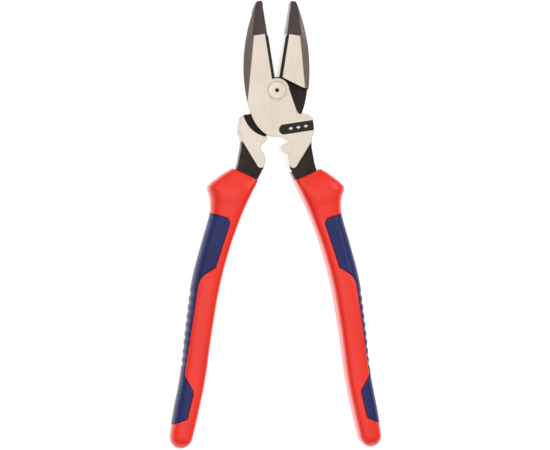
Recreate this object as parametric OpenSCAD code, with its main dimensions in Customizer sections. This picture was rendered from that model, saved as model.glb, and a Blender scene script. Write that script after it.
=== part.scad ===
// Lineman pliers: two levers that cross in a riveted lap joint, with gripping
// jaws, side cutters, a tape puller and a crimper, and two-part grips.
// The origin is on the pivot's axis, on the back ground face of the head.
// The jaws point along +Y and the front face looks along +Z.
// Each lever is drawn closed and about its middle plane, with its jaw at -X and its handle
// at +X. It is then opened about the pivot, and the rear lever is first turned over.

/* [Head] */
// Distance from the pivot to the jaw tips
jaw_len = 47.6; // [46:0.1:50]
// Thickness between the two ground faces of the head
head_t = 14; // [13:0.5:15]
// Half the width of the closed head at the pivot
head_half_w = 16.5; // [16:0.1:17]
// Radius of the jaws' outer arc, centred level with the pivot
jaw_arc_r = 90; // [85:1:95]
// Distance from the pivot to the end of the cutters, where the gripping faces start
grip_face_y = 30; // [29:0.5:31]
// Thickness of the jaws at their tips
tip_t = 8.4; // [7:0.1:10]
// Length of one gripping tooth
tooth_pitch = 1.3; // [1:0.1:2]
// Depth of the gripping teeth
tooth_depth = 0.35; // [0.2:0.05:0.5]
// Width of the relief bevel beside each cutting edge
relief_w = 1.6; // [1.2:0.05:2]
// Depth of the relief bevel below the ground face
relief_drop = 0.7; // [0.5:0.1:2]

/* [Joint] */
// Radius of the round end of each joint plate, at the ground face
boss_r = 6.4; // [6:0.05:6.6]
// Width of the rim round that end, as deep as the relief bevel
boss_rim = 0.55; // [0.3:0.05:0.6]
// Diameter of the rivet
rivet_d = 9; // [8:0.1:9.5]
// Diameter of the centre mark drilled in the front end of the rivet
centre_mark_d = 2; // [1:0.1:3]
// Depth of the centre mark
centre_mark_depth = 1.2; // [0.5:0.1:2]
// Radial clearance of the rivet in the rear lever
running_clearance = 0.05; // [0.02:0.01:0.1]
// Gap between the two joint plates
plate_gap = 0.1; // [0.05:0.05:0.3]
// Gap left between the closed jaws
jaw_gap = 0.2; // [0.1:0.05:0.4]
// Angle between the levers as the pliers rest
open_angle = 18; // [2:1:30]

/* [Arms] */
// Thickness of the forged necks between the head and the grips
neck_t = 10.6; // [10:0.1:12]
// Thickness of the tangs inside the grips
tang_t = 8; // [7:0.5:9]
// Distance from the pivot to the end of the tangs
tang_end = 150; // [140:1:160]
// Radius of the crimping nub on the front lever
nub_r = 2.45; // [2:0.05:2.6]
// Radius of the crimping notch in the rear lever
notch_r = 2.8; // [2.7:0.05:3]
// Height of the recessed badge
badge_h = 5.1; // [4:0.1:5.5]
// Depth of the recessed badge
badge_depth = 0.5; // [0.3:0.1:0.8]

/* [Grips] */
// Distance from the pivot to the end of the grips
grip_end = 192.6; // [188:0.1:196]
// Radius of the rounded ends of the grips
grip_end_r = 6.5; // [5:0.5:8]
// Thickness of the soft pads
pad_t = 2; // [1.5:0.1:2.5]
// Gap at the bond lines between steel, shell and pad
bond_gap = 0.1; // [0.05:0.05:0.2]
// Number of ribs on the outer edge of each pad
rib_count = 8; // [4:1:9]
// Distance between two ribs
rib_pitch = 4.6; // [4:0.1:4.6]
// Depth of the grooves between the ribs
rib_depth = 0.45; // [0.3:0.05:0.8]

/* [Hidden] */
$fn = 96;

half_t = head_t / 2;
half_open = open_angle / 2;
edge_x = -jaw_gap / 2;          // the meeting faces stand this far off the centre plane
past = 0.5;                     // how far a cutting shape reaches past the steel
arc_steps = 10;                 // straight steps in an arc, and in a finer and a coarser one
fine_steps = 16;
few_steps = 6;

// Jaw
jaw_centre = [jaw_arc_r - head_half_w, 0];
tip_inner_w = 0.4;              // small corner taken off the inside of the tip
tip_inner_h = 1;
tip_flat_w = 2.6;               // flat end of each jaw
tip_corner_y = jaw_len - 0.7;   // where the outer arc meets the tip
cutter_top = grip_face_y - 1.6;  // the cutters stand out from the gripping faces below this
relief_top = grip_face_y + 0.2;
throat_y = 7.2;                 // lower end of the cutting edges
shoulder = [[-15.5, 3.4], [-12.6, 3.7], [-1.9, 7]];    // lower edge of the jaw, next to the other plate
shoulder_end_y = 3.3;
tooth_count = floor((jaw_len - grip_face_y - tip_inner_h) / tooth_pitch);
grip_taper = 0.25;              // the gripping faces part by this much at their lower end
facet_step = 0.3;               // the tip facets start this far below the ground face
facet_angle = atan((half_t - facet_step - tip_t / 2) / (jaw_len - grip_face_y));

// Flank bevels: the line where the ground face ends, and the same on the tip facet
flank_top = [-7.6, grip_face_y];
flank_bottom = [-16.3, -3.5];
tip_flank_top = [-3.6, jaw_len + 0.3];
tip_flank_bottom_x = -8.4;
flank_slope = 38;
tip_flank_slope = 45;
bevel_reach = 12;

// Joint plate
plate_arc = [3, -8];            // centre of the lower edge's arc
plate_arc_r = 18.5;
plate_turn = [188.5, 232];      // angles where the arc starts and ends
slot = [1.7, -10.2];            // the other arm's edge passes round it with clearance
slot_r = 14.65;
slot_turn = [-23, -88];
boss_turn = [-5, 90];
waist_r = 45;
waist_y = 10.2;
fillet = [11, -11.7];
fillet_r = 2.5;
fillet_turn = [275, 187];

// Arm, from the joint down to the grip
arm_inner_x = 0.4;
bottom_edge = [[-6, -23.4], [-2, -24.3], [arm_inner_x, -25.4]];
slot_end = [[1, -25.2], [arm_inner_x, -25.9]];
neck_inner = [[arm_inner_x, -41.3], [1.2, -43.2], [2.6, -47.5], [6.9, -58]];
neck_outer = [[16, -58], [14.3, -44.5], [13.8, -40.5], [13.6, -32.5], [13.9, -29.4], [14.1, -27.8]];
cheek = [[14.9, -26.3], [15.9, -24.9], [16.25, -20.5], [16.2, -17.2]];
cheek_top = [14.2, -15];
neck_edge = [[14.6, -28.2], [arm_inner_x, -44.9]];  // where the ground face drops to the neck
neck_top_y = -28;
neck_reach = 60;                // the neck is cut down to this distance from the pivot
face_end_r = 2;                 // the ground face ends round on the inner side of the neck
nub = [0.1, -30.9];
tape_notch = [0.4, -27];
tape_notch_r = 1.5;
notch = [1.1, -30.7];
notch_lips = [
    [-3.8, -24], [1.25, -24], [1.3, -25.4], [0.95, -26.1], [2.4, -27.8],
    [2.2, -33.2], [1.1, -34.6], [0.4, -36.4], [-3.8, -36.4]
];
badge_centre = [0.35, -20.8];
lozenge_x = [4, 8, 12];
lozenge = [[-1.4, 0], [0, 0.9], [1.4, 0], [0, -0.9]];

// Tang: distance from the pivot, inner side, outer side
tang = [
    [57, 7.2, 15.6], [75, 11.9, 19], [90, 14.4, 21.2],
    [105, 15.9, 22.4], [120, 16.3, 22.9], [150, 16, 22.2]
];
tang_steps = 12;
tang_corner = [1.5, 2];
room_top_y = -38;               // the room for the neck in the grip starts above the grip

// Grip: distance from the pivot, inner side, outer side, half the thickness
grip = [
    [46.5, 2.4, 17, 8.6],
    [49.4, 3.1, 20.1, 9.7],
    [52.7, 4, 23.4, 10.5],
    [55.6, 4.7, 26.3, 10.9],
    [57.5, 5.2, 27.5, 11],
    [59.3, 5.7, 27.1, 10.9],
    [61, 6.1, 26, 10.7],
    [64, 6.9, 24.8, 10.2],
    [70, 8.3, 24.2, 9.7],
    [85, 11.1, 26, 10],
    [105, 13.2, 27.9, 10.6],
    [130, 13.6, 27.4, 10.3],
    [155, 13.2, 26.2, 9.7],
    [175, 14.1, 26.8, 9.8],
    [192.6, 15.6, 26.8, 9]
];
grip_top = grip[0][0];
outer_square = 2.8;             // exponent of the sections' outer half: 2 is an ellipse, more is squarer
inner_square = 4.2;             // the same of the inner half
top_square = 2.2;               // what is added to both at the top, where the grip takes in the neck
square_fade = 14;               // distance over which that fades
grip_sides = 24;
grip_slant = 0.28;              // slope of the upper end, which fades along the guard
slant_x = 9;
slant_fade = 20;
ring_pitch = 3.2;
end_rings = 5;
end_turn = 82;                  // the rounded end is closed at this angle of its quarter circle

// Pad: outline seen from the front, each point with its corner radius
pad_outline = [
    [34, -67.5, 0], [13.2, -70.2, 3.5], [17.5, -96.4, 1.5], [25.4, -102.6, 9.5],
    [24.9, -154.3, 4], [18.7, -162.3, 2.2], [19.8, -176.3, 1.8], [34, -184.5, 0]
];
first_rib = 112;                // distance from the pivot to the first groove
groove_r = 4.6;

// Points along an arc
function arc(centre, r, from, to, steps = arc_steps) = [
    for (i = [0 : steps])
        let (a = from + (to - from) * i / steps)
            centre + r * [cos(a), sin(a)]
];

function flat(p) = [p.x, p.y];

// The shorter way round from one angle to another
function turn(from, to) =
    let (d = to - from)
        d > 180 ? d - 360 : d < -180 ? d + 360 : d;

// Corner b of the path a, b, c, rounded to a radius
function corner(a, b, c, r) =
    r == 0 ? [b] :
    let (
        u = (a - b) / norm(a - b),
        v = (c - b) / norm(c - b),
        half = acos(u * v) / 2,
        centre = b + (u + v) / norm(u + v) * r / sin(half),
        p = b + u * r / tan(half) - centre,
        q = b + v * r / tan(half) - centre,
        from = atan2(p.y, p.x)
    )
        arc(centre, r, from, from + turn(from, atan2(q.y, q.x)), few_steps);

// A closed path with every corner rounded to its own radius
function rounded(path) =
    let (n = len(path)) [
        for (i = [0 : n - 1])
            each corner(flat(path[(i + n - 1) % n]), flat(path[i]), flat(path[(i + 1) % n]), path[i].z)
    ];

function backwards(list) = [for (i = [len(list) - 1 : -1 : 0]) list[i]];

// Slope of a table's column at one of its rows
function slope_at(table, i, col) =
    let (a = max(i - 1, 0), b = min(i + 1, len(table) - 1))
        (table[b][col] - table[a][col]) / (table[b][0] - table[a][0]);

// Smooth curve through the rows of a table: column col at distance s
function smooth(table, s, col) =
    let (
        last = len(table) - 2,
        i = min(last, max([0, for (k = [0 : last]) if (table[k][0] <= s) k])),
        a = table[i],
        b = table[i + 1],
        span = b[0] - a[0],
        t = (s - a[0]) / span
    )
        a[col] * (1 - t) * (1 - t) * (1 + 2 * t) + b[col] * t * t * (3 - 2 * t)
        + span * t * (1 - t) * ((1 - t) * slope_at(table, i, col) - t * slope_at(table, i + 1, col));

// Gripping edge with its teeth, from the cutter up to the tip
function teeth() = [
    for (i = [0 : tooth_count - 1])
        let (y = grip_face_y + i * tooth_pitch, share = 1 - i / tooth_count)
            each [
                [edge_x - grip_taper * share - tooth_depth, y],
                [edge_x - grip_taper * share, y + tooth_pitch / 2]
            ]
];

// Angle on the jaw's outer arc at a given height
function jaw_turn(y) = 180 - asin(y / jaw_arc_r);

// Jaw from a given height on its inner edge, over the tip, to a given height on its outer arc
function jaw_path(from_y, to_y) = concat(
    [[edge_x, from_y], [edge_x, cutter_top]],
    teeth(),
    [[edge_x, jaw_len - tip_inner_h], [edge_x - tip_inner_w, jaw_len], [edge_x - tip_flat_w, jaw_len]],
    arc(jaw_centre, jaw_arc_r, jaw_turn(tip_corner_y), jaw_turn(to_y), fine_steps)
);

// Layer of the lever's own joint plate: jaw, plate and arm in one, with the plate's end at a radius
module plate_layer(end_r) {
    polygon(concat(
        jaw_path(end_r, 0),
        arc([waist_r - head_half_w, 0], waist_r, 180, 180 + asin(waist_y / waist_r), few_steps),
        arc(plate_arc, plate_arc_r, plate_turn[0], plate_turn[1]),
        bottom_edge,
        neck_inner,
        neck_outer,
        cheek,
        [cheek_top],
        arc(fillet, fillet_r, fillet_turn[0], fillet_turn[1], few_steps),
        arc([0, 0], end_r, boss_turn[0], boss_turn[1], fine_steps)
    ));
}

// Layer that leaves room for the other lever's plate: jaw and arm apart
module jaw_layer() {
    polygon(concat(jaw_path(throat_y, shoulder_end_y), shoulder));
}

module arm_layer() {
    polygon(concat(
        arc(slot, slot_r, slot_turn[0], slot_turn[1]),
        slot_end,
        neck_inner,
        neck_outer,
        cheek
    ));
}

// Both faces at once: what is cut from the front is cut from the back
module both_faces() {
    children();
    mirror([0, 0, 1]) children();
}

// A prism along the line a-b at height z, its section drawn as (distance to the left, height)
module along(a, b, z, section) {
    d = b - a;
    translate([a.x, a.y, z])
        rotate(atan2(d.y, d.x))
            translate([-past * 8, 0, 0])
                rotate([90, 0, 90])
                    linear_extrude(norm(d) + past * 16) polygon(section);
}

// Bevel that falls away to the left of the line a-b
module bevel(a, b, z, slope) {
    along(a, b, z, [
        [0, 0],
        [bevel_reach, -bevel_reach * tan(slope)],
        [bevel_reach, 2 * past],
        [0, 2 * past]
    ]);
}

module tip_facet() {
    translate([0, grip_face_y, half_t - facet_step])
        rotate([-facet_angle, 0, 0]) {
            translate([-head_half_w, 0, 0]) cube([head_half_w + past, 2 * head_half_w, half_t]);
            bevel([tip_flank_bottom_x, 0], tip_flank_top - [0, grip_face_y], 0, tip_flank_slope);
        }
}

module cutter_relief() {
    difference() {
        translate([edge_x, relief_top, 0])
            rotate([90, 0, 0])
                linear_extrude(relief_top)
                    polygon([
                        [0, half_t - relief_drop],
                        [-relief_w, half_t],
                        [-relief_w, half_t + past],
                        [past, half_t + past],
                        [past, half_t - relief_drop]
                    ]);
        cylinder(r = boss_r, h = head_t);
    }
}

// Where the forged neck lies below the ground face, whose lower end is round
module neck_drop() {
    tip = neck_edge[1];
    beyond = 2 * neck_edge[0] - tip;
    translate([0, 0, neck_t / 2])
        linear_extrude(half_t)
            difference() {
                translate([tip.x - past, -neck_reach]) square([neck_reach, neck_reach + neck_top_y]);
                polygon(rounded([[tip.x, 0, 0], [tip.x, tip.y, face_end_r], [beyond.x, beyond.y, 0]]));
            }
}

module tang_2d(gap = 0) {
    s0 = tang[0][0];
    rows = [for (i = [0 : tang_steps]) s0 + (tang_end - s0) * i / tang_steps];
    polygon(concat(
        [for (s = rows) [smooth(tang, s, 1) - gap, -s]],
        [
            [smooth(tang, tang_end, 1) + tang_corner.x, -tang_end - tang_corner.y - gap],
            [smooth(tang, tang_end, 2) - tang_corner.x, -tang_end - tang_corner.y - gap]
        ],
        [for (s = backwards(rows)) [smooth(tang, s, 2) + gap, -s]]
    ));
}

module crimp_nub() {
    translate(nub) circle(nub_r);
}

module tape_gap() {
    translate(tape_notch) circle(tape_notch_r);
}

module crimp_notch() {
    translate(notch) circle(notch_r);
    polygon(notch_lips);
}

// One lever in its closed position, before the bore and the badge
module lever(nubbed) {
    difference() {
        union() {
            translate([0, 0, plate_gap / 2]) linear_extrude(half_t - plate_gap / 2) plate_layer(boss_r);
            translate([0, 0, plate_gap / 2])
                linear_extrude(half_t - plate_gap / 2 - relief_drop) plate_layer(boss_r + boss_rim);
            translate([0, 0, -half_t]) linear_extrude(half_t + plate_gap) jaw_layer();
            translate([0, 0, -half_t]) linear_extrude(half_t + plate_gap) arm_layer();
        }
        both_faces() {
            tip_facet();
            bevel(flank_bottom, flank_top, half_t, flank_slope);
            cutter_relief();
            neck_drop();
        }
        translate([0, 0, -half_t - past]) linear_extrude(head_t + 2 * past)
            if (nubbed) tape_gap();
            else crimp_notch();
    }
    if (nubbed) translate([0, 0, -half_t]) linear_extrude(head_t) crimp_nub();
    translate([0, 0, -tang_t / 2]) linear_extrude(tang_t) tang_2d();
}

module badge() {
    translate([0, 0, half_t - badge_depth])
        linear_extrude(badge_depth + past)
            difference() {
                union() {
                    translate(badge_centre) circle(badge_h / 2);
                    translate(badge_centre - [0, badge_h / 2]) square([head_half_w + past, badge_h]);
                }
                for (x = lozenge_x) translate([x, badge_centre.y]) polygon(lozenge);
            }
}

// Parts of the front half: opened one way
module front_half() {
    translate([0, 0, half_t]) rotate(half_open) children();
}

// Parts of the rear half: turned over and opened the other way
module rear_half() {
    translate([0, 0, half_t]) rotate(-half_open) rotate([0, 180, 0]) children();
}

module front_lever() {
    color("gainsboro")
        front_half()
            difference() {
                lever(true);
                cylinder(d = rivet_d, h = head_t);
                badge();
            }
}

module rear_lever() {
    color("gainsboro")
        rear_half()
            difference() {
                lever(false);
                cylinder(r = rivet_d / 2 + running_clearance, h = head_t);
            }
}

// The rivet fills the front lever's bore and turns in the rear lever's
module pivot_rivet() {
    color("silver")
        difference() {
            cylinder(d = rivet_d, h = head_t);
            translate([0, 0, head_t - centre_mark_depth]) cylinder(d = centre_mark_d, h = centre_mark_d);
        }
}

// Distances of the grip's sections from the pivot
function grip_stations() = concat(
    [for (s = [grip_top : ring_pitch : grip_end - grip_end_r - ring_pitch / 2]) s],
    [for (i = [0 : end_rings]) grip_end - grip_end_r + grip_end_r * sin(end_turn * i / end_rings)]
);

// Rounded end: the sections shrink along a quarter circle
function end_share(s) =
    let (t = (s - grip_end + grip_end_r) / grip_end_r)
        t <= 0 ? 1 : sqrt(1 - t * t);

function power(v, p) = sign(v) * pow(abs(v), p);

// Exponent of the grip's section, on its outer or its inner half
function squareness(s, outer) =
    (outer ? outer_square : inner_square) + top_square * max(0, 1 - (s - grip_top) / square_fade);

// One section of the grip, kept in by a given amount
function grip_ring(s, inset) =
    let (
        centre = (smooth(grip, s, 1) + smooth(grip, s, 2)) / 2,
        a = ((smooth(grip, s, 2) - smooth(grip, s, 1)) / 2) * end_share(s) - inset * end_share(s),
        h = (smooth(grip, s, 3) - inset) * end_share(s),
        slant = grip_slant * max(0, 1 - (s - grip_top) / slant_fade)
    ) [
        for (i = [0 : grip_sides - 1])
            let (
                angle = 360 * i / grip_sides,
                bend = 2 / squareness(s, cos(angle) > 0),
                x = centre + a * power(cos(angle), bend),
                z = h * power(sin(angle), bend)
            )
                [x, -s + slant * (x - slant_x), z]
    ];

// The whole grip as a loft through its sections
module grip_body(inset = 0) {
    rings = [for (s = grip_stations()) grip_ring(s, inset)];
    n = grip_sides;
    last = len(rings) - 1;
    polyhedron(
        points = [for (r = rings) each r],
        faces = concat(
            [[for (i = [0 : n - 1]) i]],
            [[for (i = [n - 1 : -1 : 0]) last * n + i]],
            [
                for (k = [0 : last - 1], i = [0 : n - 1])
                    let (j = (i + 1) % n)
                        each [
                            [k * n + j, k * n + i, (k + 1) * n + i],
                            [k * n + j, (k + 1) * n + i, (k + 1) * n + j]
                        ]
            ]
        )
    );
}

module pad_zone() {
    translate([0, 0, -head_t]) linear_extrude(2 * head_t) polygon(rounded(pad_outline));
}

// Room for the neck and the tang inside the grip
module tang_room() {
    translate([0, 0, -tang_t / 2 - bond_gap]) linear_extrude(tang_t + 2 * bond_gap) tang_2d(bond_gap);
    translate([0, 0, -neck_t / 2 - bond_gap])
        linear_extrude(neck_t + 2 * bond_gap)
            polygon(concat(
                [[arm_inner_x - bond_gap, room_top_y]],
                [for (p = neck_inner) p - [bond_gap, bond_gap]],
                [for (p = neck_outer) if (p.y <= room_top_y) p + [bond_gap, -bond_gap]]
            ));
}

// Hard shell: the grip without the pad, which lies on its core
module grip_shell() {
    color("crimson")
        difference() {
            grip_body();
            difference() {
                pad_zone();
                grip_body(pad_t + bond_gap);
            }
            tang_room();
        }
}

// Grooves across the outer edge of the pad, which leave the ribs between them
module rib_grooves() {
    for (i = [0 : rib_count])
        let (s = first_rib + i * rib_pitch)
            translate([smooth(grip, s, 2) + groove_r - rib_depth, -s, -head_t])
                cylinder(r = groove_r, h = 2 * head_t);
}

// Soft pad: the skin of the grip inside the pad's outline
module grip_pad() {
    color("midnightblue")
        difference() {
            intersection() {
                grip_body();
                pad_zone();
            }
            grip_body(pad_t);
            rib_grooves();
        }
}

module right_grip_shell() {
    front_half() grip_shell();
}

module right_grip_pad() {
    front_half() grip_pad();
}

module left_grip_shell() {
    rear_half() grip_shell();
}

module left_grip_pad() {
    rear_half() grip_pad();
}

front_lever();
rear_lever();
pivot_rivet();
right_grip_shell();
right_grip_pad();
left_grip_shell();
left_grip_pad();
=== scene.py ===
# Lineman pliers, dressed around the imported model: steel levers, rivet and two-part grips.
# Every length in the tables is in millimetres, on a closed half of the pliers drawn about its
# middle plane: x to the handle's side, y to the jaw tips, z out of the front face.
# half_frame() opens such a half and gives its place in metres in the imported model's frame.
import math

import bmesh
import bpy
from mathutils import Matrix, Vector, kdtree


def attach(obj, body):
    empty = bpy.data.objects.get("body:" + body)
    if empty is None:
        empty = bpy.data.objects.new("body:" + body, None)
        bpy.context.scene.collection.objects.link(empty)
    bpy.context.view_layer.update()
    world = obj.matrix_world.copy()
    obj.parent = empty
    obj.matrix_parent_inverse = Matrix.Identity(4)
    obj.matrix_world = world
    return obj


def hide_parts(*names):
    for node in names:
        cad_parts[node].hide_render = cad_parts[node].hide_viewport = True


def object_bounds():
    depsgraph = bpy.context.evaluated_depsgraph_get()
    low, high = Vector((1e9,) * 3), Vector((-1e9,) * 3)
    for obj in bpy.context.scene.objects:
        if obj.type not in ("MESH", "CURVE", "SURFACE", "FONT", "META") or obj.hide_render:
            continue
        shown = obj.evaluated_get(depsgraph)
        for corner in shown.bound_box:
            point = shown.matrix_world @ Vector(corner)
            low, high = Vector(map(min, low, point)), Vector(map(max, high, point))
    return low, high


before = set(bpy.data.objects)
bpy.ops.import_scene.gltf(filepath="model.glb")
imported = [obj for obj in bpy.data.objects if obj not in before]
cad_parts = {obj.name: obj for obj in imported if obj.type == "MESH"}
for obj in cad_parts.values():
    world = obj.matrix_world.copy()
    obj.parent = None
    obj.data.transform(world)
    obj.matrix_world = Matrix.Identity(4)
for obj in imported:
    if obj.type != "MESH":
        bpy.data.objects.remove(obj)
CAD_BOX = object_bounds()

MM = 0.001
HALF_T = 7.0  # half the thickness of the head
HALF_OPEN = 9.0  # degrees each lever is turned from the closed position
PIVOT_LIFT = 7.0  # height of the middle plane above the back face

# ---------------------------------------------------------------- frames


def half_frame(rear):
    """Places a closed half, in millimetres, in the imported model's frame, in metres."""
    turn = -HALF_OPEN if rear else HALF_OPEN
    place = Matrix.Translation((0, 0, PIVOT_LIFT * MM)) @ Matrix.Rotation(math.radians(turn), 4, "Z")
    if rear:
        place = place @ Matrix.Rotation(math.pi, 4, "Y")
    return place @ Matrix.Scale(MM, 4)


HALVES = {
    "front": {"body": "front_half", "lever": "front_lever", "hand": "right", "place": half_frame(False)},
    "rear": {"body": "rear_half", "lever": "rear_lever", "hand": "left", "place": half_frame(True)},
}

# ---------------------------------------------------------------- materials


class Nodes:
    """Short way to build a material's nodes."""

    def __init__(self, name):
        self.material = bpy.data.materials.new(name)
        self.material.use_nodes = True
        self.tree = self.material.node_tree
        self.tree.nodes.clear()
        output = self.add("ShaderNodeOutputMaterial")
        self.shader = self.add("ShaderNodeBsdfPrincipled")
        self.link(self.shader.outputs["BSDF"], output.inputs["Surface"])
        self.place = self.add("ShaderNodeTexCoord").outputs["Object"]

    def add(self, kind, **values):
        made = self.tree.nodes.new(kind)
        for key, value in values.items():
            setattr(made, key, value)
        return made

    def link(self, a, b):
        self.tree.links.new(a, b)

    def scaled(self, size):
        """The place on the piece, times a scale along each axis."""
        mapping = self.add("ShaderNodeMapping")
        mapping.inputs["Scale"].default_value = size
        self.link(self.place, mapping.inputs["Vector"])
        return mapping.outputs["Vector"]

    def noise(self, size, detail=3.0, roughness=0.55):
        """Noise with its own scale along x, y and z, in lumps for each metre."""
        made = self.add("ShaderNodeTexNoise")
        made.inputs["Scale"].default_value = 1.0
        made.inputs["Detail"].default_value = detail
        made.inputs["Roughness"].default_value = roughness
        self.link(self.scaled(size), made.inputs["Vector"])
        return made.outputs["Fac"]

    def ramp(self, value, *stops):
        made = self.add("ShaderNodeValToRGB")
        elements = made.color_ramp.elements
        while len(elements) < len(stops):
            elements.new(0.5)
        for element, (place, colour) in zip(elements, stops):
            element.position = place
            element.color = (*colour, 1.0)
        self.link(value, made.inputs["Fac"])
        return made.outputs["Color"]

    def mix(self, kind, amount, a, b):
        """Mixes two colours; each may be a socket or a plain colour."""
        made = self.add("ShaderNodeMix", data_type="RGBA", blend_type=kind)
        for socket, value in ((made.inputs[0], amount), (made.inputs[6], a), (made.inputs[7], b)):
            if isinstance(value, bpy.types.NodeSocket):
                self.link(value, socket)
            else:
                socket.default_value = value if isinstance(value, float) else (*value, 1.0)
        return made.outputs[2]

    def axis_distance(self):
        """Distance from the pivot's axis."""
        split = self.add("ShaderNodeSeparateXYZ")
        self.link(self.place, split.inputs[0])
        across = self.math("POWER", split.outputs["X"], 2.0)
        along = self.math("POWER", split.outputs["Y"], 2.0)
        return self.math("SQRT", self.math("ADD", across, along))

    def math(self, kind, a, b=0.0):
        made = self.add("ShaderNodeMath", operation=kind)
        for socket, value in zip(made.inputs, (a, b)):
            if isinstance(value, bpy.types.NodeSocket):
                self.link(value, socket)
            else:
                socket.default_value = value
        return made.outputs[0]

    def bump(self, height, strength, distance):
        made = self.add("ShaderNodeBump")
        made.inputs["Strength"].default_value = strength
        made.inputs["Distance"].default_value = distance
        self.link(height, made.inputs["Height"])
        self.link(made.outputs["Normal"], self.shader.inputs["Normal"])

    def set(self, **values):
        names = {
            "colour": "Base Color", "metal": "Metallic", "roughness": "Roughness", "ior": "IOR",
            "coat": "Coat Weight", "coat_roughness": "Coat Roughness", "coat_ior": "Coat IOR",
        }
        for key, value in values.items():
            socket = self.shader.inputs[names[key]]
            if isinstance(value, bpy.types.NodeSocket):
                self.link(value, socket)
            else:
                socket.default_value = (*value, 1.0) if isinstance(value, tuple) else value


def steel(name, light, dark, roughness, grain, grain_depth, stain=None):
    """Ground steel: streaks along the grain, and soft cloudy patches."""
    m = Nodes(name)
    streaks = m.noise(grain, detail=4.0, roughness=0.7)
    clouds = m.noise((90, 60, 90), detail=3.0)
    colour = m.ramp(streaks, (0.3, dark), (0.7, light))
    colour = m.mix("MULTIPLY", 0.55, colour, m.ramp(clouds, (0.35, (0.9, 0.89, 0.88)), (0.65, (1, 1, 1))))
    if stain:
        colour = m.mix("MULTIPLY", 1.0, colour, stain(m))
    spread = m.ramp(streaks, (0.3, (roughness + 0.08,) * 3), (0.7, (roughness,) * 3))
    m.set(colour=colour, metal=1.0, roughness=spread)
    m.bump(streaks, 0.5, grain_depth)
    return m.material


STAIN_WOBBLE = 0.0012  # how far the stain's outline strays from a circle
STAIN_REACH = 0.01  # the stain's ramp ends this far from the axis
STAIN = [(0.4, (0.97, 0.94, 0.9)), (0.5, (0.88, 0.8, 0.7)), (0.58, (0.95, 0.91, 0.86)), (0.74, (1, 1, 1))]


def rivet_stain(m):
    """A faint brown ring where the rivet was ground flush, round the pivot's axis."""
    wobble = m.math("MULTIPLY", m.noise((300, 300, 300)), STAIN_WOBBLE)
    reach = m.math("MULTIPLY", m.math("ADD", m.axis_distance(), wobble), 1 / STAIN_REACH)
    return m.ramp(reach, *STAIN)


def black_steel():
    m = Nodes("black_oxide")
    grain = m.noise((1500, 1500, 1500), detail=5.0, roughness=0.6)
    lumps = m.noise((260, 260, 260), detail=2.0)
    colour = m.ramp(lumps, (0.35, (0.012, 0.006, 0.005)), (0.65, (0.024, 0.015, 0.013)))
    m.set(
        colour=colour,
        metal=0.2,
        ior=1.25,
        roughness=m.ramp(grain, (0.3, (0.36,) * 3), (0.7, (0.52,) * 3)),
        coat=0.5,
        coat_ior=1.25,
        coat_roughness=0.25,
    )
    m.bump(m.math("ADD", grain, m.math("MULTIPLY", lumps, 2.0)), 0.35, 0.00006)
    return m.material


def badge_enamel():
    m = Nodes("badge_enamel")
    grain = m.noise((1200, 1200, 1200), detail=3.0)
    m.set(
        colour=m.ramp(grain, (0.35, (0.003, 0.003, 0.003)), (0.7, (0.010, 0.008, 0.008))),
        roughness=m.ramp(grain, (0.3, (0.3,) * 3), (0.7, (0.42,) * 3)),
        ior=1.35,
    )
    m.bump(grain, 0.3, 0.00003)
    return m.material


def moulded(name, light, dark, roughness, grain_depth, coat):
    """Moulded plastic or rubber: a fine eroded skin with a slight change of tone."""
    m = Nodes(name)
    skin = m.noise((2600, 2600, 2600), detail=4.0, roughness=0.6)
    tone = m.noise((70, 45, 70), detail=3.0)
    m.set(
        colour=m.ramp(tone, (0.3, dark), (0.7, light)),
        roughness=m.ramp(skin, (0.3, (roughness - 0.05,) * 3), (0.7, (roughness + 0.07,) * 3)),
        ior=1.3,
        coat=coat,
        coat_ior=1.3,
        coat_roughness=0.2,
    )
    m.bump(skin, 0.5, grain_depth)
    return m.material


RING_PITCH = 0.0006  # turned marks on the ends of the rivet


def rivet_steel():
    m = Nodes("rivet_steel")
    rings = m.math("SINE", m.math("MULTIPLY", m.axis_distance(), 2 * math.pi / RING_PITCH))
    clouds = m.noise((300, 300, 300))
    shade = m.math("ADD", m.math("MULTIPLY", rings, 0.03), clouds)
    colour = m.ramp(shade, (0.3, (0.6, 0.51, 0.41)), (0.7, (0.7, 0.62, 0.53)))
    m.set(colour=colour, metal=1.0, roughness=m.ramp(clouds, (0.3, (0.34,) * 3), (0.7, (0.42,) * 3)))
    m.bump(rings, 0.12, 0.00001)
    return m.material


MATERIALS = {
    "ground": steel(
        "ground_steel", (0.67, 0.595, 0.515), (0.615, 0.54, 0.46), 0.36, (1500, 90, 1500), 0.00001, rivet_stain
    ),
    "facet": steel("facet_steel", (0.1, 0.076, 0.074), (0.06, 0.044, 0.043), 0.42, (1900, 60, 1900), 0.00003),
    "flank": steel("flank_steel", (0.31, 0.255, 0.225), (0.225, 0.18, 0.16), 0.4, (2200, 150, 2200), 0.00003),
    "machined": steel("machined_steel", (0.42, 0.39, 0.39), (0.26, 0.24, 0.24), 0.32, (900, 300, 200), 0.00002),
    # Wall steel is the ground steel painted nearly white: a painted highlight for walls that catch the white
    # surroundings.
    "wall_painted_highlight": steel("wall_steel_painted_highlight", (0.97, 0.95, 0.93), (0.88, 0.85, 0.82), 0.3, (300, 300, 900), 0.00002),
    # Side steel is the same ground steel painted a dimmer grey: painted shade for walls facing the handle's
    # side below the pivot.
    "side": steel("side_steel_painted_shade", (0.68, 0.64, 0.62), (0.58, 0.54, 0.52), 0.34, (300, 300, 900), 0.00002),
    "black": black_steel(),
    "badge": badge_enamel(),
    "rivet": rivet_steel(),
    "shell": moulded("red_plastic", (0.93, 0.026, 0.01), (0.87, 0.019, 0.006), 0.36, 0.00003, 1.0),
    "pad": moulded("blue_rubber", (0.013, 0.022, 0.125), (0.007, 0.013, 0.1), 0.45, 0.00004, 0.3),
}

# ---------------------------------------------------------------- pieces


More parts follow.
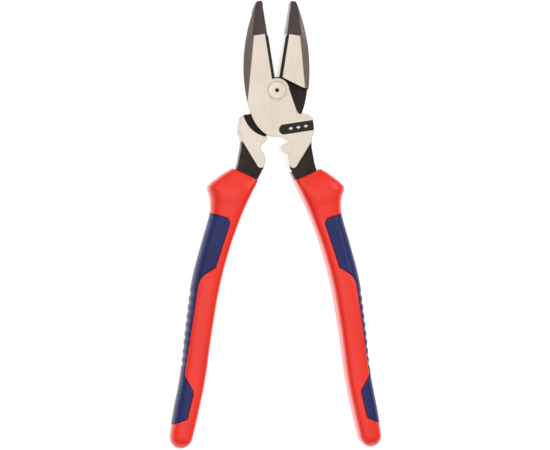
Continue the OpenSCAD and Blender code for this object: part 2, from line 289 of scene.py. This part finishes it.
def make_piece(name, mesh, body, node, materials):
    """A piece from its mesh: its materials, the body it rides on and the CAD node it stands for."""
    for key in materials:
        mesh.materials.append(MATERIALS[key])
    piece = bpy.data.objects.new(name, mesh)
    bpy.context.scene.collection.objects.link(piece)
    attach(piece, body)
    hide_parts(node)
    return piece


# ---------------------------------------------------------------- levers

# The last two are painted light, not finishes: ground steel painted nearly white as a painted highlight, and a
# dimmer grey as painted shade.
LEVER_FINISHES_AND_PAINTED_LIGHT = ["ground", "facet", "flank", "machined", "black", "badge", "wall_painted_highlight", "side"]
FLAT_FINISHES = ("ground", "facet", "flank")
GRIP_FACE_Y = 29.9  # the gripping faces and tip facets start here
THROAT_Y = 7.0
ARM_TOP_Y = -16.0
SIDE_X = -6.0  # the jaw's outer side and the plate's edge lie beyond this
NECK_TOP_Y = -28.0
BADGE_TOP_Y = -15.0
BADGE_DEPTH = 0.5
NECK_LINE = ((14.6, -28.2), (3.2, -41.6))  # where the ground face drops to the neck
SLOT_CENTRE = (1.7, -10.2)
SLOT_R = 14.65
NECK_Z = 5.3  # half the thickness of the necks
EDGE_BREAK = 0.14
NECK_RADIUS = 0.7
NECK_SEGMENTS = 4


def on_outline(centre, normal):
    """True on the ground side walls: the jaw's outer side, the plate's edge and the arm above its neck."""
    if centre.y > ARM_TOP_Y:
        return normal.x < -0.2 and centre.x < SIDE_X
    (x0, y0), (x1, y1) = NECK_LINE
    above_neck = (centre.x - x0) * (y1 - y0) - (centre.y - y0) * (x1 - x0) > 0
    in_slot = abs(math.hypot(centre.x - SLOT_CENTRE[0], centre.y - SLOT_CENTRE[1]) - SLOT_R) < 0.1
    return above_neck and not in_slot


def lever_finish_or_painted_light(centre, normal):
    """What a face of the lever shows, from its place and direction on the closed half: one of the steel
    finishes, or on some walls ground steel painted nearly white (painted highlight) or a dimmer grey (painted
    shade).
    """
    height = abs(centre.z)
    tilt = abs(normal.z)
    if tilt > 0.999 and height > HALF_T - 0.01:
        return "ground"
    if tilt > 0.95 and centre.y > GRIP_FACE_Y - 0.5 and height > 3:
        return "facet"
    if normal.y > 0.7 and centre.y > GRIP_FACE_Y:
        return "facet"
    if 0.55 < tilt < 0.95 and normal.x < -0.3 and height > 1:
        return "flank"
    if tilt > 0.999 and abs(height - HALF_T + BADGE_DEPTH) < 0.05 and centre.y < BADGE_TOP_Y:
        return "badge"
    # The jaws' inner walls get the nearly white steel, a painted highlight.
    if normal.x > 0.9 and tilt < 0.08 and THROAT_Y < centre.y < GRIP_FACE_Y - 0.6:
        return "wall_painted_highlight"
    if centre.y > GRIP_FACE_Y - 0.6 and centre.x > -1.2 and tilt < 0.3:
        return "machined"
    # Outline walls get painted light: those facing the handle's side below the pivot get the dimmer grey steel
    # as painted shade, and the rest get the nearly white steel as painted highlight.
    if tilt < 0.05 and height < NECK_Z and on_outline(centre, normal):
        return "side" if centre.y < 0 < normal.x else "wall_painted_highlight"
    return "black"


def round_edges(bm, wanted, radius, segments):
    edges = [e for e in bm.edges if len(e.link_faces) == 2 and wanted(e)]
    bmesh.ops.bevel(
        bm, geom=edges, offset=radius, offset_type="OFFSET", segments=segments, profile=0.5,
        affect="EDGES", clamp_overlap=False, material=-1,
    )


def break_rim(bm, ground, width):
    """Breaks the rim of the ground faces: a narrow chamfer inside their outline."""
    for side in (1, -1):
        faces = [f for f in bm.faces if f.material_index == ground and f.calc_center_median().z * side > 0]
        inside = set(faces)
        rim = {v for f in faces for e in f.edges if any(g not in inside for g in e.link_faces) for v in e.verts}
        made = bmesh.ops.inset_region(bm, faces=faces, thickness=width, use_even_offset=True, use_boundary=True)
        for vert in rim:
            if vert.is_valid:
                vert.co.z -= side * width
        for face in made["faces"]:
            face.material_index = ground
            face.smooth = False


def build_lever(half):
    """The lever's CAD mesh with its finishes face by face, painted highlight and painted shade on some walls,
    and its edges broken.
    """
    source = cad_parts[half["lever"]]
    bm = bmesh.new()
    bm.from_mesh(source.data)
    bm.transform(half["place"].inverted())
    bmesh.ops.remove_doubles(bm, verts=bm.verts, dist=0.001)
    bmesh.ops.dissolve_limit(bm, angle_limit=math.radians(0.4), verts=bm.verts, edges=bm.edges)
    for face in bm.faces:
        face.normal_update()
        finish_or_painted_light = lever_finish_or_painted_light(face.calc_center_median(), face.normal)
        face.material_index = LEVER_FINISHES_AND_PAINTED_LIGHT.index(finish_or_painted_light)
        face.smooth = finish_or_painted_light not in FLAT_FINISHES and abs(face.normal.z) < 0.999

    def neck(edge):
        return (
            edge.calc_face_angle_signed(0) > math.radians(60)
            and all(v.co.y < NECK_TOP_Y for v in edge.verts)
            and all(abs(abs(v.co.z) - NECK_Z) < 0.02 for v in edge.verts)
            and edge.calc_length() > 0.5
        )

    round_edges(bm, neck, NECK_RADIUS, NECK_SEGMENTS)
    break_rim(bm, LEVER_FINISHES_AND_PAINTED_LIGHT.index("ground"), EDGE_BREAK)
    bm.transform(half["place"])
    bmesh.ops.recalc_face_normals(bm, faces=bm.faces)
    mesh = bpy.data.meshes.new(half["lever"] + "_steel")
    bm.to_mesh(mesh)
    bm.free()
    if "custom_normal" in mesh.attributes:
        mesh.attributes.remove(mesh.attributes["custom_normal"])
    mesh.set_sharp_from_angle(angle=math.radians(32))
    make_piece(half["lever"] + "_steel", mesh, half["body"], half["lever"], LEVER_FINISHES_AND_PAINTED_LIGHT)


# ---------------------------------------------------------------- rivet

RIVET_R = 4.5
MARK_R = 1.0
MARK_DEPTH = 1.2
RIVET_SIDES = 96
RIVET_RIM = [(0.2, 0), (0.06, 0.015), (0, 0.08)]  # in from the rivet's side, and down from its end


def build_rivet():
    """The rivet, turned from its profile: rounded rims and a drilled centre mark in front."""
    top = 2 * HALF_T
    profile = [(0, 0)]
    profile += [(RIVET_R - inside, down) for inside, down in RIVET_RIM]
    profile += [(RIVET_R - inside, top - down) for inside, down in reversed(RIVET_RIM)]
    profile += [
        (MARK_R + 0.08, top),
        (MARK_R, top - 0.1),
        (MARK_R * 0.93, top - 0.55 * MARK_DEPTH),
        (0, top - MARK_DEPTH),
    ]
    bm = bmesh.new()
    rings = []
    for radius, height in profile:
        count = RIVET_SIDES if radius else 1
        rings.append([
            bm.verts.new((
                radius * math.cos(2 * math.pi * i / RIVET_SIDES) * MM,
                radius * math.sin(2 * math.pi * i / RIVET_SIDES) * MM,
                height * MM,
            ))
            for i in range(count)
        ])
    for low, high in zip(rings, rings[1:]):
        for i in range(RIVET_SIDES):
            j = (i + 1) % RIVET_SIDES
            corners = [low[i % len(low)], low[j % len(low)], high[j % len(high)], high[i % len(high)]]
            face = bm.faces.new(list(dict.fromkeys(corners)))
            face.smooth = True
            centre = face.calc_center_median() / MM
            face.material_index = int(centre.z > top - 0.99 * MARK_DEPTH and centre.xy.length < MARK_R)
    bmesh.ops.recalc_face_normals(bm, faces=bm.faces)
    mesh = bpy.data.meshes.new("rivet_turned")
    bm.to_mesh(mesh)
    bm.free()
    mesh.set_sharp_from_angle(angle=math.radians(30))
    make_piece("rivet_turned", mesh, "front_half", "pivot_rivet", ["rivet", "black"])


# ---------------------------------------------------------------- grips

# Distance from the pivot, inner side, outer side, half the thickness
GRIP = [
    (46.5, 2.4, 17, 8.6),
    (49.4, 3.1, 20.1, 9.7),
    (52.7, 4, 23.4, 10.5),
    (55.6, 4.7, 26.3, 10.9),
    (57.5, 5.2, 27.5, 11),
    (59.3, 5.7, 27.1, 10.9),
    (61, 6.1, 26, 10.7),
    (64, 6.9, 24.8, 10.2),
    (70, 8.3, 24.2, 9.7),
    (85, 11.1, 26, 10),
    (105, 13.2, 27.9, 10.6),
    (130, 13.6, 27.4, 10.3),
    (155, 13.2, 26.2, 9.7),
    (175, 14.1, 26.8, 9.8),
    (192.6, 15.6, 26.8, 9),
]
GRIP_TOP = GRIP[0][0]
GRIP_END = GRIP[-1][0]
GRIP_END_R = 6.5
OUTER_SQUARE = 2.8  # exponent of the sections' outer half: 2 is an ellipse, more is squarer
INNER_SQUARE = 4.2  # the same of the inner half
TOP_SQUARE = 2.2  # what is added to both at the top, where the grip takes in the neck
SQUARE_FADE = 14.0
GRIP_SLANT = 0.28
SLANT_X = 9.0
SLANT_FADE = 20.0
PAD_T = 2.0
SEAM = 0.06  # half the gap between shell and pad
SEAM_ROUND = 0.55
SEAM_STEP = 0.05  # distance between the points that stand for the seam
ROW = 0.45
FINE_ROW = 0.12
FINE_ZONES = [(67, 75), (95.5, 104), (153, 164), (175, 182)]
END_TURN = 88.5
END_ROWS = 16
# The pad's edge seen from the front: x, y, corner radius, from the guard to the grip's end
PAD_EDGE = [
    (34, -67.5, 0), (13.2, -70.2, 3.5), (17.5, -96.4, 1.5), (25.4, -102.6, 9.5),
    (24.9, -154.3, 4), (18.7, -162.3, 2.2), (19.8, -176.3, 1.8), (34, -184.5, 0),
]
RIBS = 8
RIB_PITCH = 4.6
FIRST_RIB = 112.0
RIB_DEPTH = 0.45
RIB_WIDTH = 1.7


def slope_at(i, col):
    a, b = max(i - 1, 0), min(i + 1, len(GRIP) - 1)
    return (GRIP[b][col] - GRIP[a][col]) / (GRIP[b][0] - GRIP[a][0])


def smooth(s, col):
    """Smooth curve through the grip's table: column col at distance s from the pivot."""
    i = max([0] + [k for k in range(len(GRIP) - 1) if GRIP[k][0] <= s])
    a, b = GRIP[i], GRIP[i + 1]
    span = b[0] - a[0]
    t = (s - a[0]) / span
    return (
        a[col] * (1 - t) ** 2 * (1 + 2 * t)
        + b[col] * t * t * (3 - 2 * t)
        + span * t * (1 - t) * ((1 - t) * slope_at(i, col) - t * slope_at(i + 1, col))
    )


def power(value, exponent):
    return math.copysign(abs(value) ** exponent, value)


def squareness(s, angle):
    """Exponent of the grip's section, on its outer or its inner half."""
    base = OUTER_SQUARE if math.cos(angle) > 0 else INNER_SQUARE
    return base + TOP_SQUARE * max(0.0, 1 - (s - GRIP_TOP) / SQUARE_FADE)


def end_share(s):
    t = (s - GRIP_END + GRIP_END_R) / GRIP_END_R
    return 1 if t <= 0 else math.sqrt(max(0, 1 - t * t))


def section(s):
    """Centre, half width and half thickness of the grip at distance s."""
    inner, outer = smooth(s, 1), smooth(s, 2)
    share = end_share(s)
    return (inner + outer) / 2, (outer - inner) / 2 * share, smooth(s, 3) * share


def on_grip(s, angle, inset=0.0):
    """Point on the grip's surface, or that far inside it."""
    centre, a, h = section(s)
    a, h = max(a - inset, 0.01), max(h - inset, 0.01)
    bend = 2 / squareness(s, angle)
    x = centre + a * power(math.cos(angle), bend)
    slant = GRIP_SLANT * max(0.0, 1 - (s - GRIP_TOP) / SLANT_FADE)
    return Vector((x, -s + slant * (x - SLANT_X), h * power(math.sin(angle), bend)))


def rounded(path, steps=14):
    """The path with each corner rounded to its own radius, as points (x, y)."""
    points = []
    for k, (x, y, r) in enumerate(path):
        here = Vector((x, y))
        if r == 0:
            points.append(here)
            continue
        u = (Vector(path[k - 1][:2]) - here).normalized()
        v = (Vector(path[k + 1][:2]) - here).normalized()
        half = u.angle(v) / 2
        centre = here + (u + v).normalized() * r / math.sin(half)
        start = here + u * r / math.tan(half) - centre
        turn = Vector((1, 0)).angle_signed(start)
        sweep = start.angle_signed(here + v * r / math.tan(half) - centre)
        for i in range(steps + 1):
            angle = -(turn + sweep * i / steps)
            points.append(centre + Vector((math.cos(angle), math.sin(angle))) * r)
    return points


PAD_LINE = rounded(PAD_EDGE)


def edge_angle(s):
    """Angle on the section, up from its outer side, where the pad ends; 0 where there is no pad."""
    crossings = [
        a.x + (b.x - a.x) * (a.y + s) / (a.y - b.y)
        for a, b in zip(PAD_LINE, PAD_LINE[1:])
        if a.y >= -s > b.y
    ]
    centre, a, _ = section(s)
    if not crossings or crossings[0] >= centre + a:
        return 0.0
    reach = (crossings[0] - centre) / a
    bend = squareness(s, 0.0 if reach > 0 else math.pi) / 2
    return math.acos(max(-1.0, min(1.0, power(reach, bend))))


def rows_between(start, end):
    """Distances from start to end, closer together where the pad's edge turns."""
    rows = [start]
    while rows[-1] < end - FINE_ROW:
        fine = any(low < rows[-1] < high for low, high in FINE_ZONES)
        rows.append(min(rows[-1] + (FINE_ROW if fine else ROW), end))
    return rows


def stations():
    """Distances of the grip's rows from the pivot."""
    straight = GRIP_END - GRIP_END_R
    return rows_between(GRIP_TOP, straight - ROW) + [
        straight + GRIP_END_R * math.sin(math.radians(END_TURN) * i / END_ROWS) for i in range(END_ROWS + 1)
    ]


def pad_stations():
    """Distances from the pivot at which there is pad, finely spaced."""
    first, last = -PAD_EDGE[0][1], -PAD_EDGE[-1][1]
    count = round((last - first) / SEAM_STEP)
    steps = [first + SEAM_STEP * i for i in range(count + 1)]
    return [s for s in steps if edge_angle(s) > 0]


PAD_STATIONS = pad_stations()


def seam_tree():
    """The pad's edge on the grip's surface, as points to measure the distance from."""
    points = [on_grip(s, side * edge_angle(s)) for s in PAD_STATIONS for side in (1, -1)]
    points += [on_grip(s, 0.0) for s in (PAD_STATIONS[0], PAD_STATIONS[-1])]
    tree = kdtree.KDTree(len(points))
    for i, p in enumerate(points):
        tree.insert(p, i)
    tree.balance()
    return tree


TREE = seam_tree()
WELD = 0.002
OUTER_COLUMNS = 72
SHELL_CROWD = 0.09  # how strongly the columns crowd towards the seams
PAD_CROWD = 0.06
FLOOR_COLUMNS = 24
PAD_COLUMNS = 56


def seam_drop(point):
    """How far the surface falls away next to the seam."""
    distance = TREE.find(point)[2] - SEAM
    if distance >= SEAM_ROUND:
        return 0.0
    reach = SEAM_ROUND - max(distance, 0.0)
    return SEAM_ROUND - math.sqrt(SEAM_ROUND**2 - reach**2)


def rib_drop(s, angle):
    """Depth of the grooves between the ribs, which fade towards the pad's edges."""
    last = FIRST_RIB + RIBS * RIB_PITCH
    if not FIRST_RIB - RIB_PITCH < s < last + RIB_PITCH:
        return 0.0
    nearest = min(max(round((s - FIRST_RIB) / RIB_PITCH), 0), RIBS)
    away = abs(s - FIRST_RIB - nearest * RIB_PITCH) / RIB_WIDTH
    across = max(0.0, math.cos(min(abs(angle) * 1.25, math.pi / 2)))
    return RIB_DEPTH * max(0.0, 1 - away * away) ** 1.5 * across**0.6


def side_room(s):
    """Angle that the seam's half gap takes on the section at distance s."""
    _, a, h = section(s)
    return SEAM / max(min(a, h), 1.0)


def loft(rows, name):
    """Closed mesh through rows of points that are closed loops of the same length."""
    bm = bmesh.new()
    rings = [[bm.verts.new(p) for p in row] for row in rows]
    n = len(rings[0])
    for low, high in zip(rings, rings[1:]):
        for i in range(n):
            j = (i + 1) % n
            bm.faces.new((low[i], low[j], high[j], high[i]))
    bm.faces.new(rings[0])
    bm.faces.new(rings[-1])
    bmesh.ops.remove_doubles(bm, verts=bm.verts, dist=WELD * MM)
    bmesh.ops.dissolve_degenerate(bm, edges=bm.edges, dist=WELD * MM)
    bmesh.ops.recalc_face_normals(bm, faces=bm.faces)
    for face in bm.faces:
        face.smooth = True
    mesh = bpy.data.meshes.new(name)
    bm.to_mesh(mesh)
    bm.free()
    return mesh


# Centre line and size of the socket that the neck enters, at the grip's top
NECK_SOCKET = (8.8, 5.9, 5.4)
SOCKET_SQUARE = 14.0
SOCKET_DEPTH = 1.2
SOCKET_LEAN = 0.4
# The rolled mouth: share of the way in to the socket, and height above the grip's top
MOUTH = [(1.0, -SOCKET_DEPTH), (1.0, 0.1), (0.85, 0.42), (0.55, 0.55), (0.25, 0.48), (0.06, 0.25)]


def rim_ring(share, lift, angles):
    """Ring between the grip's top edge (share 0) and the socket's mouth (share 1)."""
    centre, a, h = section(GRIP_TOP)
    x0, half_w, half_h = NECK_SOCKET
    ring = []
    for angle in angles:
        bend = 2 / squareness(GRIP_TOP, angle)
        outer = Vector((
            centre + a * power(math.cos(angle), bend),
            h * power(math.sin(angle), bend),
        ))
        inner = Vector((
            x0 - SOCKET_LEAN * min(lift, 0) + half_w * power(math.cos(angle), 2 / SOCKET_SQUARE),
            half_h * power(math.sin(angle), 2 / SOCKET_SQUARE),
        ))
        p = outer.lerp(inner, share)
        ring.append(Vector((p.x, -GRIP_TOP + lift + GRIP_SLANT * (p.x - SLANT_X), p.y)))
    return ring


def shell_angles(s):
    """Angles round the shell's outer skin, from the pad's upper edge to its lower one."""
    edge = edge_angle(s)
    start = edge + (side_room(s) if edge else 0.0)
    span = 2 * (math.pi - start)
    angles = []
    for i in range(OUTER_COLUMNS + 1):
        t = i / OUTER_COLUMNS
        angles.append(start + span * (t - SHELL_CROWD * math.sin(2 * math.pi * t)))
    return angles


def shell_row(s):
    """One loop of the shell: its outer skin, and the floor that the pad lies on."""
    edge = edge_angle(s)
    angles = shell_angles(s)
    floor = PAD_T if edge else 0.0
    loop = []
    for angle in angles:
        p = on_grip(s, angle)
        loop.append(on_grip(s, angle, seam_drop(p)))
    for i in range(FLOOR_COLUMNS + 1):
        angle = -angles[0] + 2 * angles[0] * i / FLOOR_COLUMNS
        loop.append(on_grip(s, angle, floor if edge else seam_drop(on_grip(s, angle))))
    return loop


def build_shell(half):
    skin = shell_angles(GRIP_TOP)
    top_angles = skin + [-skin[0] * (1 - 2 * i / FLOOR_COLUMNS) for i in range(FLOOR_COLUMNS + 1)]
    rows = [rim_ring(share, lift, top_angles) for share, lift in MOUTH]
    rows += [shell_row(s) for s in stations()]
    name = half["hand"] + "_grip_shell"
    mesh = loft([[half["place"] @ p for p in row] for row in rows], name + "_moulding")
    mesh.set_sharp_from_angle(angle=math.radians(50))
    make_piece(name + "_moulding", mesh, half["body"], name, ["shell"])


def pad_row(s):
    """One loop of the pad: its skin with the ribs, and its underside."""
    edge = edge_angle(s)
    reach = max(edge - side_room(s), 0.001)
    skin, under = [], []
    for i in range(PAD_COLUMNS + 1):
        t = i / PAD_COLUMNS
        angle = -reach + 2 * reach * (t - PAD_CROWD * math.sin(2 * math.pi * t))
        drop = seam_drop(on_grip(s, angle)) + rib_drop(s, angle)
        skin.append(on_grip(s, angle, drop))
    for i in range(FLOOR_COLUMNS + 1):
        angle = reach - 2 * reach * i / FLOOR_COLUMNS
        under.append(on_grip(s, angle, PAD_T - 0.05))
    return skin + under


def build_pad(half):
    first, last = PAD_STATIONS[0] + SEAM, PAD_STATIONS[-1] - SEAM
    rows = [pad_row(s) for s in rows_between(first, last)]
    name = half["hand"] + "_grip_pad"
    mesh = loft([[half["place"] @ p for p in row] for row in rows], name + "_moulding")
    mesh.set_sharp_from_angle(angle=math.radians(50))
    make_piece(name + "_moulding", mesh, half["body"], name, ["pad"])


for part in HALVES.values():
    build_lever(part)
    build_shell(part)
    build_pad(part)
build_rivet()

# ---------------------------------------------------------------- stage, lights and camera

FLOOR_SIZE = 6.0
FLOOR_GAP = 0.0002
FLOOR_GLOW = 0.76
MIDDLE = (0, -0.07, 0)  # below the middle of the pliers, where the lights aim


def build_floor():
    """A plain pale floor just under the lowest point."""
    low, _ = CAD_BOX
    bm = bmesh.new()
    bmesh.ops.create_grid(bm, x_segments=1, y_segments=1, size=FLOOR_SIZE / 2)
    mesh = bpy.data.meshes.new("floor")
    bm.to_mesh(mesh)
    bm.free()
    floor = bpy.data.objects.new("floor", mesh)
    floor.location = (MIDDLE[0], MIDDLE[1], low.z - FLOOR_GAP)
    m = Nodes("floor_paint")
    tone = m.noise((2, 2, 2))
    m.set(colour=m.ramp(tone, (0.0, (0.48, 0.48, 0.48)), (1.0, (0.5, 0.5, 0.5))), roughness=0.8)
    m.shader.inputs["Emission Color"].default_value = (1, 1, 1, 1)
    m.shader.inputs["Emission Strength"].default_value = FLOOR_GLOW
    mesh.materials.append(m.material)
    bpy.context.scene.collection.objects.link(floor)


def add_light(name, place, size, watts):
    """A rectangular light that aims at the middle of the pliers."""
    data = bpy.data.lights.new(name, "AREA")
    data.shape = "RECTANGLE"
    data.size, data.size_y = size
    data.energy = watts
    light = bpy.data.objects.new(name, data)
    light.location = place
    light.rotation_mode = "QUATERNION"
    light.rotation_quaternion = (Vector(place) - Vector(MIDDLE)).to_track_quat("Z", "Y")
    bpy.context.scene.collection.objects.link(light)


HORIZON = 0.12  # brightness of the surroundings level with the floor, and overhead
ZENITH = 0.8


def build_lights():
    world = bpy.data.worlds.new("studio")
    world.use_nodes = True
    tree = world.node_tree
    split = tree.nodes.new("ShaderNodeSeparateXYZ")
    sky = tree.nodes.new("ShaderNodeValToRGB")
    tree.links.new(tree.nodes.new("ShaderNodeTexCoord").outputs["Generated"], split.inputs[0])
    tree.links.new(split.outputs["Z"], sky.inputs["Fac"])
    tree.links.new(sky.outputs["Color"], tree.nodes["Background"].inputs["Color"])
    low, high = sky.color_ramp.elements
    low.position, low.color = 0.1, (*[HORIZON] * 3, 1)
    high.position, high.color = 0.75, (*[ZENITH] * 3, 1)
    bpy.context.scene.world = world
    add_light("key", (1.0, 0.5, 1.2), (0.9, 0.9), 6)
    add_light("fill", (-0.9, 0.5, 1.3), (1.0, 1.0), 3)
    add_light("front", (-0.15, -0.1, 1.7), (1.0, 1.0), 3)


CAMERA_YAW = 6.8  # degrees the camera stands round to the left of straight ahead
CAMERA_DISTANCE = 1.4
FRAME_WIDTH = 0.2882  # what the frame takes in at the object, in metres
CAMERA_TARGET = Vector((-0.0003, -0.0703, 0.007))


def build_camera():
    data = bpy.data.cameras.new("camera")
    data.sensor_width = 36
    data.lens = data.sensor_width * CAMERA_DISTANCE / FRAME_WIDTH
    camera = bpy.data.objects.new("camera", data)
    yaw = math.radians(CAMERA_YAW)
    back = Vector((-math.sin(yaw), 0, math.cos(yaw)))
    right = Vector((0, 1, 0)).cross(back)
    up = back.cross(right)
    turn = Matrix((right, up, back)).transposed().to_4x4()
    camera.matrix_world = Matrix.Translation(CAMERA_TARGET + back * CAMERA_DISTANCE) @ turn
    bpy.context.scene.collection.objects.link(camera)
    bpy.context.scene.camera = camera


build_floor()
build_lights()
build_camera()
bpy.context.scene.view_settings.view_transform = "Standard"
